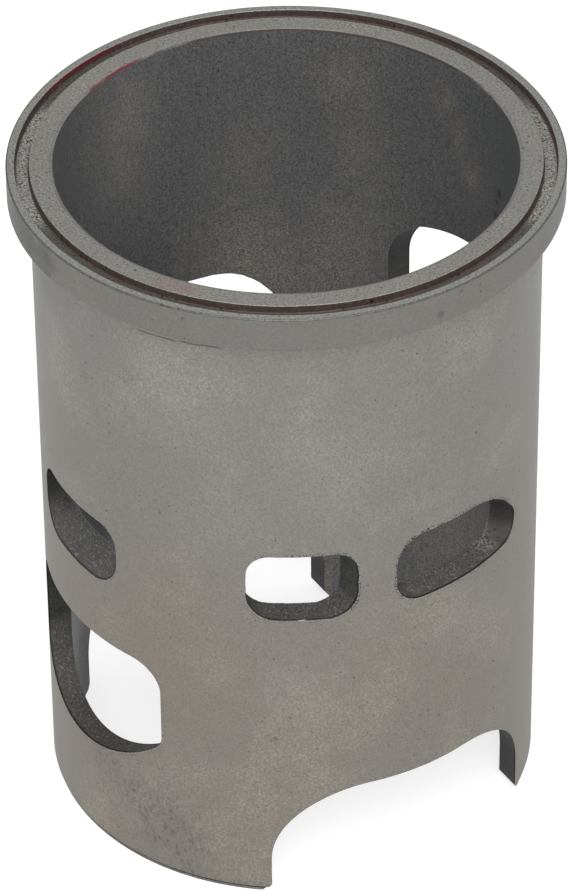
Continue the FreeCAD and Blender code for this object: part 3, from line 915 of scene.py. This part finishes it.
# Colours of the marks along the port edges; the dark line is painted shade.
EDGE_MARKS = {
    "Fringe": (0.42, 0.42, 0.40), "Line": (0.006, 0.005, 0.005), "Burr": (0.03, 0.026, 0.023),
}
# How high the grain stands, and how smooth a finish may get.
RELIEF = 0.12 * MM
LEAST_ROUGHNESS = 0.22


class Finish(Sheet):
    """One material of the liner: aged iron with stains, painted shade and painted light laid over
    it.
    """

    def __init__(self, name, effects, colours, surface, tones, values):
        self.material = bpy.data.materials.new(name)
        self.material.use_nodes = True
        super().__init__(self.material.node_tree)
        self.effects, self.colours = effects, colours
        self.roughness, metallic, self.bump = surface
        self.shader = self.tree.nodes["Principled BSDF"]
        self.shader.inputs["Metallic"].default_value = metallic
        self.place = self.node("TexCoord").outputs["Object"]
        self.waves = self.noise(self.place, 320.0, 3.0, 0.6)
        base, light, warm = (self.tone(*tone) for tone in tones)
        iron = self.effect(
            effects["iron"], Vector=self.place, Base=base, Light=light, Warm=warm,
            **dict(zip(IRON_VALUES, values)),
        )
        self.colour, self.height = iron["Colour"], iron["Height"]

    def tone(self, name, factor=1.0):
        """One of the liner's colours, made lighter or darker."""
        return tuple(part * factor for part in getattr(self.colours, name))

    def rise(self, vector):
        """Upright part of a vector."""
        return self.node("SeparateXYZ", None, Vector=vector).outputs["Z"]

    def streaks(self, scale):
        """Noise on coordinates that are scaled differently in each direction."""
        return self.noise(self.vector("MULTIPLY", self.place, scale), 1.0, 3.0, 0.6)

    def grain(self, scale, rough, start, end):
        """Fine grain as a mask."""
        return self.ease(self.noise(self.place, scale, 2.0, rough), start, end)

    def brighten(self, mask, factor, shift):
        """Make the colour lighter or darker by a mask times a factor, plus a shift."""
        self.colour = self.vector("SCALE", self.colour, self.scaled(mask, factor, shift))

    def stain(self, mask, colour, blend="MIX"):
        """Lay a colour over the iron where a mask says."""
        self.colour = self.mix(mask, self.colour, colour, blend)

    def spot_mask(self, turn, radius, height, reach, core, **values):
        """Mask of a soft spot round a place, from its reach in millimetres, one or three."""
        reach = tuple(part * MM for part in (reach if isinstance(reach, tuple) else (reach,) * 3))
        return self.effect(
            self.effects["spot"], Vector=self.place, Centre=on_ring(turn, radius, height),
            Reach=reach, Waves=self.waves, Core=core, **values,
        )["Mask"]

    def spots(self, radius, rows, colour, ragged=0.5, grain=None, core=0.35):
        """Lay soft spots of a colour, for stains and for painted shade and light. A row is angle in
        degrees, height, reach in millimetres and strength.
        """
        for turn, height, reach, strength in rows:
            mask = self.spot_mask(turn, radius, height, reach, core, Ragged=ragged)
            if grain is not None:
                mask = self.times(mask, grain)
            self.stain(self.times(mask, strength), colour)

    def edges(self, **strengths):
        """Bright fringe, dark line of painted shade and burrs along the port edges."""
        marks = self.effect(self.effects["edge"], Vector=self.place)
        for name, strength in strengths.items():
            self.stain(self.times(marks[name], strength), EDGE_MARKS[name])

    def done(self):
        """Join the colour, gloss and relief to the shader."""
        swing = self.scaled(self.sum("SUBTRACT", self.height, 0.5), 0.35, self.roughness)
        bump = self.node("Bump", None, Strength=self.bump, Distance=RELIEF, Height=self.height)
        self.feed(self.shader.inputs["Base Color"], self.colour)
        self.feed(self.shader.inputs["Roughness"], self.sum("MAXIMUM", swing, LEAST_ROUGHNESS))
        self.feed(self.shader.inputs["Normal"], bump.outputs["Normal"])
        return self.material


# Stains, and in places painted shade, in rows of angle, height, reach and strength, as Finish.spots
# takes them.
SCUFFS = ((24, 11, (12, 14, 9), 0.65), (10, 15, (8, 10, 8), 0.5), (33, 6, (10, 12, 7), 0.6))
SCRATCH = tuple(
    (turn, height, (2.2, 2.2, 0.2), 0.9)
    for turn, height in ((27.0, 95.1), (32.0, 95.2), (37.5, 95.4), (42.0, 95.55))
)
PALE_PATCHES = tuple((*row, 0.45) for row in (
    (36, 83, 9), (30, 90, 6), (66, 73, 10), (70, 58, 6), (96, 66, 9), (101, 42, 9), (60, 36, 11),
    (44, 66, 8), (330, 60, 12), (280, 70, 14), (200, 30, 16), (150, 80, 12),
))
# Larger pits of the outer wall, and where such pits lie close together: angle, height, how many,
# all of one reach, scattered by this much in angle and height.
PITS = tuple((*row, 0.8) for row in (
    (55.5, 28.6, 0.55), (58.8, 32.5, 0.40), (92.0, 28.9, 0.35), (95.1, 27.1, 0.40),
    (84.0, 32.8, 0.30), (8.2, 82.0, 0.25), (7.1, 82.7, 0.25), (15.1, 67.3, 0.30),
    (27.7, 67.1, 0.30), (29.1, 65.2, 0.30), (54.4, 28.2, 0.30), (89.8, 28.5, 0.30),
    (10.3, 82.8, 0.22), (54.6, 1.0, 0.6),
))
PIT_CLUSTERS = (
    (93.0, 28.0, 9), (57.0, 30.5, 8), (76.0, 33.0, 6), (103.0, 37.0, 4), (12.0, 82.0, 5),
)
CLUSTER_REACH, CLUSTER_SPREAD, CLUSTER_SEED = 0.24, (3.6, 2.2), 17
# Dark spots in the ports: darker patches on the main port's end wall and in the exhaust near its
# side, and painted shade in the boost port's left end and on the intake's left wall.
PORT_DARKS_AND_SHADE = (
    (121, 52.5, 6.0, 0.5), (120, 51.3, 3.6, 0.6), (-16, 53, 5.5, 0.85), (-28, 36, 8.0, 0.6),
    (206, 66, 9.0, 0.4),
)
WARM_PATCHES = (
    (251, 66, (10, 12, 13), 0.85), (226, 66, (9, 9, 14), 0.75), (238, 57, (16, 16, 12), 0.7),
    (223, 95, (6, 8, 8), 0.8), (221, 84, (6, 7, 10), 0.5), (283, 95, (6, 7, 9), 0.7),
    (286, 86, (6, 8, 9), 0.4), (250, 82, (10, 10, 12), 0.4), (195, 97, (4, 5, 5), 0.7),
    (189, 92, (3, 4, 6), 0.8), (184, 87, (3, 3, 4), 0.9), (100, 40, (16, 18, 20), 0.4),
    (20, 80, (14, 14, 18), 0.4), (300, 60, (12, 14, 16), 0.4), (275, 54, (14, 14, 12), 0.5),
    (194, 19, (18, 18, 20), 0.75), (229.5, 5, (3, 3, 8), 0.9),
)
# Painted shade low in the bore, on its left side as seen through the intake.
PAINTED_BORE_SHADE = ((316, 7, (10, 10, 12), 0.95), (305, 29, (10, 10, 12), 0.95))
BORE_PITS = tuple((*row, 0.75) for row in (
    (170.5, 88.4, 0.9), (172.9, 84.1, 0.9), (172, 86.4, 0.7), (229.9, 7.3, 0.4), (229.9, 6.3, 0.35)
))
FLANGE_PITS = tuple((*row, 0.6) for row in (
    (91, 99.5, 0.6), (101, 101.5, 0.4), (38, 101.6, 0.4), (96, 102, 0.3)
))
DECK_DUST = ((335, 103, 22, 0.75), (115, 103, 16, 0.5), (225, 103, 30, 0.4))


def turned_wall(wall):
    """Outer wall: warmer towards the foot, with scuffs, a scratch, painted shade under the flange
    at the left, pale patches and pits.
    """
    wall.brighten(wall.streaks((8.0, 8.0, 1500.0)), 0.08, 0.96)
    height = wall.rise(wall.place)
    wall.stain(wall.ease(height, 85 * MM, 35 * MM), (0.99, 0.925, 0.885), "MULTIPLY")
    scuffs = wall.ease(wall.streaks((2100.0, 2100.0, 1100.0)), 0.50, 0.62)
    dark, brown = wall.tone("turned", 0.5), wall.tone("warm", 0.55)
    for turn, low, reach, strength in SCUFFS:
        wall.spots(35.3, [(turn, low, reach, strength)], dark, 0.5, scuffs, 0.0)
        wall.spots(35.3, [(turn, low, reach, strength * 0.2)], brown, core=0.0)
    wall.spots(ON_WALL, SCRATCH, dark, 0.0, core=0.5)
    # Painted shade under the flange on the wall's left side as seen from the camera.
    wall.spots(ON_WALL, [(351, 94, 10, 0.2)], dark, 0.2, core=0.1)
    lip = wall.times(wall.ease(height, 1.7 * MM, 0.8 * MM), scuffs)
    wall.stain(wall.times(lip, 0.7), dark)
    pale = tuple(part * gain for part, gain in zip(wall.colours.turned, (1.27, 1.33, 1.35)))
    wall.spots(ON_WALL, PALE_PATCHES, pale, 0.6, wall.grain(2500.0, 0.75, 0.46, 0.60), 0.1)
    pits = [*PITS]
    rng = np.random.default_rng(CLUSTER_SEED)
    for turn, middle, count in PIT_CLUSTERS:
        scatter = rng.normal(0.0, 1.0, (count, 2)) * CLUSTER_SPREAD + (turn, middle)
        pits += [(*place, CLUSTER_REACH, 0.8) for place in scatter.tolist()]
    wall.spots(ON_WALL, pits, dark, 0.25, core=0.1)
    hairy = wall.spot_mask(90, ON_WALL, 60, (26, 26, 12), 0.6)
    wall.edges(Fringe=0.3, Burr=wall.scaled(hairy, 0.6, 0.35))


def broken_edge(edge):
    """Broken edges: bright on turned corners, black as painted shade where a port's wall begins,
    one chipped.
    """
    edge.edges(Fringe=0.2, Line=0.95, Burr=0.4)
    edge.spots(35.3, [(61.6, 49.95, (0.7, 0.7, 0.5), 0.9)], edge.tone("deck", 0.9), 0.3)


def port_wall(wall):
    """Rough cast walls of the ports: darker as painted shade where they stand upright or overhang,
    with light specks painted stronger where they face up and painted highlights on two floors, as
    painted light.
    """
    specks = wall.grain(2700.0, 0.7, 0.56, 0.70)
    # Painted shade: walls that stand upright or overhang are made darker and bluer.
    steep_shade = wall.ease(wall.rise(wall.node("NewGeometry").outputs["Normal"]), 0.6, 0.1)
    wall.stain(steep_shade, (0.66, 0.70, 0.74), "MULTIPLY")
    # Painted light: the light specks are strongest where the walls face up.
    up = wall.scaled(steep_shade, -0.55, 0.65)
    wall.stain(wall.times(specks, up), wall.tone("deck", 0.85))
    # Painted highlights on the floors of the main port and the boost port.
    coarse, glint = wall.grain(2300.0, 0.7, 0.44, 0.62), wall.tone("deck", 1.2)
    wall.spots(33.1, [(114, 50.8, 3.4, 0.6)], glint, 0.3, coarse, 0.2)
    wall.spots(33.5, [(4, 50, 5, 0.35)], glint, 0.4, specks, 0.1)
    # Darker patches in the main port and the exhaust, and painted shade in the boost port and the
    # intake.
    wall.spots(33.9, PORT_DARKS_AND_SHADE, wall.tone("cast", 0.25), 0.2, core=0.1)
    # Painted shade: a dark line where each port's wall begins.
    wall.edges(Line=0.9)


def honed_bore(bore):
    """Bore: dark, honed, with patches where warm brown grain shows, and painted shade low on its
    left side.
    """
    grain = bore.grain(3400.0, 0.75, 0.47, 0.60)
    bore.spots(ON_BORE, WARM_PATCHES, bore.tone("bore_warm"), 0.3, grain, 0.0)
    # Painted shade low in the bore.
    bore.spots(ON_BORE, PAINTED_BORE_SHADE, (0.036, 0.034, 0.033), 0.2, core=0.2)
    bore.spots(ON_BORE, BORE_PITS, (0.02, 0.02, 0.02), 0.3, core=0.1)
    bore.brighten(bore.streaks((1500.0, 1500.0, 160.0)), 0.36, 0.86)


def flange_side(side):
    """Flange and its neck: smoother, a little darker, with painted shade at its left and right
    sides as seen from the camera, and a few dark pits.
    """
    dark = side.tone("turned", 0.45)
    # Painted shade: a large dark spot on the flange's left side as seen from the camera.
    side.spots(ON_FLANGE, [(340, 100, (22, 22, 16), 1.0)], dark, 0.25, core=0.4)
    # Painted shade on the flange's right side as seen from the camera.
    side.spots(ON_FLANGE, [(138, 100, (15, 15, 12), 0.40)], dark, 0.3, core=0.1)
    side.spots(ON_FLANGE, FLANGE_PITS, dark)


def deck_land(deck):
    """Ground lands of the deck: light, lighter and bluer on the rim, with painted shade on the
    rim's outer rounded edge, fine dark specks, and traces of red dye.
    """
    radius = deck.size(deck.vector("MULTIPLY", deck.place, (1.0, 1.0, 0.0)))
    # The rim is made lighter and bluer; its outer rounded edge is darkened as painted shade that
    # dims its highlight.
    for start, end, tint in (
        (36.0, 37.0, (1.07, 1.09, 1.11)), (38.12, 38.25, (0.38, 0.39, 0.41)),
    ):
        deck.stain(deck.ease(radius, start * MM, end * MM), tint, "MULTIPLY")
    dust = deck.grain(2000.0, 0.75, 0.56, 0.66)
    deck.spots(34.5, DECK_DUST, deck.tone("turned", 0.4), 0.4, dust, 0.3)
    pink = deck.tone("dye", 2.6)
    deck.spots(33.9, [(36, 103, (1.8, 1.8, 1), 0.22)], pink, 0.4)
    deck.spots(33.5, [(30, 103, (3, 2.5, 1), 0.08)], pink, 0.4)


def gasket_groove(groove):
    """Walls of the gasket groove: dark brown, partly staining and partly painted shade, with red
    dye at the back.
    """
    patch = (291, 102.85, (6.5, 11, 0.7), 0.95)
    groove.spots(37.2, [patch], groove.tone("dye"), 0.15, core=0.6)


def foot_band(foot):
    """Foot face and the band turned down above it, with painted shadow under the step at the top of
    the band, and darker towards its bottom edge.
    """
    height = foot.rise(foot.place)
    # Painted shadow under the step's edge, at the top of the band.
    foot.stain(foot.ease(height, 0.30 * MM, 0.44 * MM), (0.016, 0.014, 0.012))
    # Darker towards the bottom edge.
    foot.stain(foot.ease(height, 0.17 * MM, 0.05 * MM), (0.03, 0.027, 0.024))


def bore_chamfer(chamfer):
    """Chamfer at the bore's mouth: as light as the deck at the front, dark brown at the back."""
    low = chamfer.ease(chamfer.rise(chamfer.place), 102.93 * MM, 102.87 * MM)
    brown, patch = chamfer.tone("groove", 0.4), (222, 102.8, (32, 36, 20), 0.95)
    chamfer.spots(32.3, [patch], brown, 0.15, low, 0.5)
    dyed = (287, 102.8, (5, 8.5, 0.2), 0.9)
    chamfer.spots(32.1, [dyed], chamfer.tone("dye"), 0.4, core=0.3)


def groove_floor(floor):
    """Floor of the gasket groove: pale at the two sides seen from the camera, and brown with rings
    at its front and back as seen from the camera, as painted shade.
    """
    # Painted shade: the floor turns brown along the camera's heading, at the front and back of the
    # view, where the groove lies in shadow.
    along = floor.vector("DOT_PRODUCT", floor.place, (0.857, -0.515, 0.0), "Value")
    along = floor.ease(floor.sum("ABSOLUTE", along), 11.0 * MM, 17.0 * MM)
    radius = floor.size(floor.vector("MULTIPLY", floor.place, (6500.0, 6500.0, 0.0)))
    rings = floor.node("TexNoise", {"noise_dimensions": "1D"}, W=radius, Scale=1.0).outputs["Fac"]
    dark, pale = floor.tone("warm", 0.2), floor.tone("warm", 0.5)
    brown = floor.mix(floor.ease(rings, 0.42, 0.66), dark, pale)
    floor.colour = floor.mix(floor.times(along, 0.9), floor.colour, brown)


# The finishes in the order of the zones: what lays the stains, painted shade and painted light;
# roughness, metallic and bump; base, light and warm colour; the aged iron's values.
FINISHES = (
    (turned_wall, (0.46, 0.72, 0.22), (("turned",), ("turned", 1.36), ("warm",)),
     (55.0, 0.95, 0.5, 2900.0, 0.2, 1000.0, 0.125, 0.6, 0.74)),
    (broken_edge, (0.4, 0.8, 0.3), (("deck", 1.2), ("deck", 1.4), ("warm",)),
     (200.0, 0.5, 0.4, 2500.0, 0.2, 1300.0, 0.2, 0.15, 0.7)),
    (port_wall, (0.62, 0.35, 1.0), (("cast",), ("cast", 1.6), ("bore_warm", 0.30)),
     (160.0, 0.6, 0.35, 2600.0, 0.5, 1500.0, 0.2, 0.3, 0.4)),
    (honed_bore, (0.42, 0.6, 0.3), (("bore",), ("bore_warm", 0.8), ("bore", 1.12)),
     (30.0, 0.18, 0.4, 3200.0, 0.55, 1500.0, 0.16, 0.2, 0.4)),
    (flange_side, (0.42, 0.72, 0.18), (("turned", 0.80), ("turned", 0.98), ("warm", 0.80)),
     (70.0, 0.5, 0.4, 2600.0, 0.14, 800.0, 0.12, 0.25, 0.7)),
    (deck_land, (0.48, 0.62, 0.3), (("deck", 0.93), ("deck", 1.12), ("warm",)),
     (120.0, 0.6, 0.4, 3000.0, 0.42, 1700.0, 0.27, 0.42, 0.42)),
    (gasket_groove, (0.6, 0.3, 0.5), (("groove", 0.72), ("groove", 1.2), ("groove", 0.6)),
     (160.0, 0.5, 0.5, 2000.0, 0.3, 1500.0, 0.3, 0.25, 0.6)),
    (foot_band, (0.5, 0.6, 0.4), (("turned", 0.8), ("turned", 1.2), ("warm", 0.8)),
     (200.0, 0.6, 0.5, 2000.0, 0.3, 1300.0, 0.3, 0.3, 0.7)),
    (bore_chamfer, (0.5, 0.5, 0.3), (("deck", 0.75), ("deck",), ("warm", 0.6)),
     (260.0, 0.4, 0.4, 2500.0, 0.3, 1500.0, 0.3, 0.2, 0.6)),
    (groove_floor, (0.55, 0.5, 0.6), (("deck", 0.95), ("deck", 1.6), ("warm", 0.8)),
     (220.0, 0.8, 0.5, 2800.0, 1.0, 1900.0, 0.38, 0.5, 0.7)),
)


def iron_materials(colours):
    """The liner's materials, in the order of its zones."""
    effects = {"pits": pit_group(), "spot": spot_group(), "edge": edge_group()}
    effects["iron"] = iron_group(effects["pits"])
    materials = []
    for lay_stains_and_shade, surface, tones, values in FINISHES:
        name = "iron_" + lay_stains_and_shade.__name__
        finish = Finish(name, effects, colours, surface, tones, values)
        lay_stains_and_shade(finish)
        materials.append(finish.done())
    return materials


class LINER_OT_make_sleeve(bpy.types.Operator):
    """Build the liner's casting and give it its finishes"""

    bl_idname = "liner.make_sleeve"
    bl_label = "Make the liner"

    def execute(self, context):
        scene = context.scene
        shell = build_shell(scene.liner_sleeve, scene.liner_ports)
        mesh = shell.mesh("liner_casting", iron_materials(scene.liner_colours))
        piece = bpy.data.objects.new("liner_casting", mesh)
        context.collection.objects.link(piece)
        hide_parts("cylinder_liner")
        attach(piece, "root")
        return {"FINISHED"}


# Camera, found by fitting the photograph's rim ellipses and port edges.
CAMERA_PLACE = (0.51834, -0.30836, 0.510)
CAMERA_HEADING = 59.25
CAMERA_YAW = -0.0007
CAMERA_PITCH = 0.6485
CAMERA_ROLL = -0.0110
CAMERA_LENS = 213.5
# The sky's strength behind the liner, and how much stronger it is on the camera's side.
SKY_STRENGTH = 0.42
SKY_SWING = 0.45
# Each lamp: name, bearing from the camera's towards its right, climb, distance, size, tint, power.
SOFT_BLUE = (0.75, 0.88, 1.0)
LAMPS = (
    ("key", 2.0, 48.0, 0.9, 0.6, (1.0, 0.985, 0.96), 7.4),
    ("left_strip", -100.0, 20.0, 0.8, 0.35, SOFT_BLUE, 0.5),
    ("right_strip", 100.0, 20.0, 0.8, 0.35, SOFT_BLUE, 0.5),
)
LAMP_AIM = Vector((0, 0, 0.06))
# The floor: half its side, how much it is darkened, its glow, and more glow where it is seen.
FLOOR_HALF = 4.0
FLOOR_SHADE = 0.4
FLOOR_GLOW = 0.40
SEEN_GLOW = 0.34


def direction(heading, climb):
    """Unit vector at a heading from -Y towards +X and a climb, in radians."""
    level = math.cos(climb)
    return Vector((math.sin(heading) * level, -math.cos(heading) * level, math.sin(climb)))


class LINER_OT_make_stage(bpy.types.Operator):
    """Lay the pale floor, hang the soft lights and set up the camera"""

    bl_idname = "liner.make_stage"
    bl_label = "Make the stage"

    def execute(self, context):
        scene = context.scene
        scene.view_settings.view_transform = "Standard"
        world = bpy.data.worlds.new("studio")
        world.use_nodes = True
        sky = world.node_tree.nodes["Background"]
        sky.inputs["Color"].default_value = (1.0, 1.0, 1.0, 1.0)
        sheet = Sheet(world.node_tree)
        heading = CAMERA_HEADING * DEG
        bearing = (math.sin(heading) * 0.8, -math.cos(heading) * 0.8, 0.6)
        look = sheet.node("TexCoord").outputs["Generated"]
        facing = sheet.ease(sheet.vector("DOT_PRODUCT", look, bearing, "Value"), -0.8, 0.9)
        sheet.feed(sky.inputs["Strength"], sheet.scaled(facing, SKY_SWING, SKY_STRENGTH))
        scene.world = world

        paper = bpy.data.materials.new("floor_paper")
        paper.use_nodes = True
        sheet = Sheet(paper.node_tree)
        seen = sheet.node("LightPath").outputs["Is Camera Ray"]
        tint = tuple(part * FLOOR_SHADE for part in scene.liner_colours.floor)
        for name, value in (
            ("Base Color", tint), ("Roughness", 0.9), ("Specular IOR Level", 0.0),
            ("Emission Color", (1.0, 1.0, 1.0)),
            ("Emission Strength", sheet.scaled(seen, SEEN_GLOW, FLOOR_GLOW)),
        ):
            sheet.feed(paper.node_tree.nodes["Principled BSDF"].inputs[name], value)
        mesh = bpy.data.meshes.new("floor")
        corners = [(-1, -1), (1, -1), (1, 1), (-1, 1)]
        mesh.from_pydata([(x * FLOOR_HALF, y * FLOOR_HALF, 0) for x, y in corners], [], [range(4)])
        mesh.materials.append(paper)
        floor = bpy.data.objects.new("floor", mesh)
        context.collection.objects.link(floor)

        for name, bearing, climb, distance, size, tint, power in LAMPS:
            lamp = bpy.data.lights.new(name, "AREA")
            lamp.shape, lamp.size = "DISK", size
            lamp.color, lamp.energy = tint, power
            source = bpy.data.objects.new(name, lamp)
            context.collection.objects.link(source)
            away = direction((CAMERA_HEADING + bearing) * DEG, climb * DEG)
            pose = away.to_track_quat("Z", "Y").to_matrix().to_4x4()
            source.matrix_world = Matrix.Translation(LAMP_AIM + away * distance) @ pose

        lens = bpy.data.cameras.new("camera")
        lens.lens, lens.sensor_width, lens.sensor_fit = CAMERA_LENS, 36.0, "AUTO"
        lens.clip_start, lens.clip_end = 0.05, 20.0
        camera = bpy.data.objects.new("camera", lens)
        context.collection.objects.link(camera)
        ahead = direction(math.pi - CAMERA_YAW, -CAMERA_PITCH)
        right = Vector((math.cos(CAMERA_YAW), -math.sin(CAMERA_YAW), 0))
        up = right.cross(ahead)
        cosine, sine = math.cos(CAMERA_ROLL), math.sin(CAMERA_ROLL)
        columns = (cosine * right + sine * up, -sine * right + cosine * up, -ahead)
        pose = Matrix.Rotation(heading, 3, "Z") @ Matrix(columns).transposed()
        camera.matrix_world = Matrix.Translation(CAMERA_PLACE) @ pose.to_4x4()
        scene.camera = camera
        return {"FINISHED"}


class LINER_PT_tools(bpy.types.Panel):
    """Steps and settings of the liner"""

    bl_label = "Cylinder liner"
    bl_idname = "LINER_PT_tools"
    bl_space_type = "VIEW_3D"
    bl_region_type = "UI"
    bl_category = "Liner"

    def draw(self, context):
        for operator in (LINER_OT_make_sleeve, LINER_OT_make_stage):
            self.layout.operator(operator.bl_idname)


GROUPS = {
    "liner_sleeve": LinerSleeveSizes,
    "liner_ports": LinerPortSizes,
    "liner_colours": LinerColours,
}
CLASSES = (*GROUPS.values(), LINER_OT_make_sleeve, LINER_OT_make_stage, LINER_PT_tools)


def register():
    for item in CLASSES:
        bpy.utils.register_class(item)
    for name, group in GROUPS.items():
        setattr(bpy.types.Scene, name, bpy.props.PointerProperty(type=group))


def unregister():
    for name in GROUPS:
        delattr(bpy.types.Scene, name)
    for item in reversed(CLASSES):
        bpy.utils.unregister_class(item)


def main():
    register()
    bpy.ops.liner.make_sleeve()
    bpy.ops.liner.make_stage()


if __name__ == "__main__":
    main()
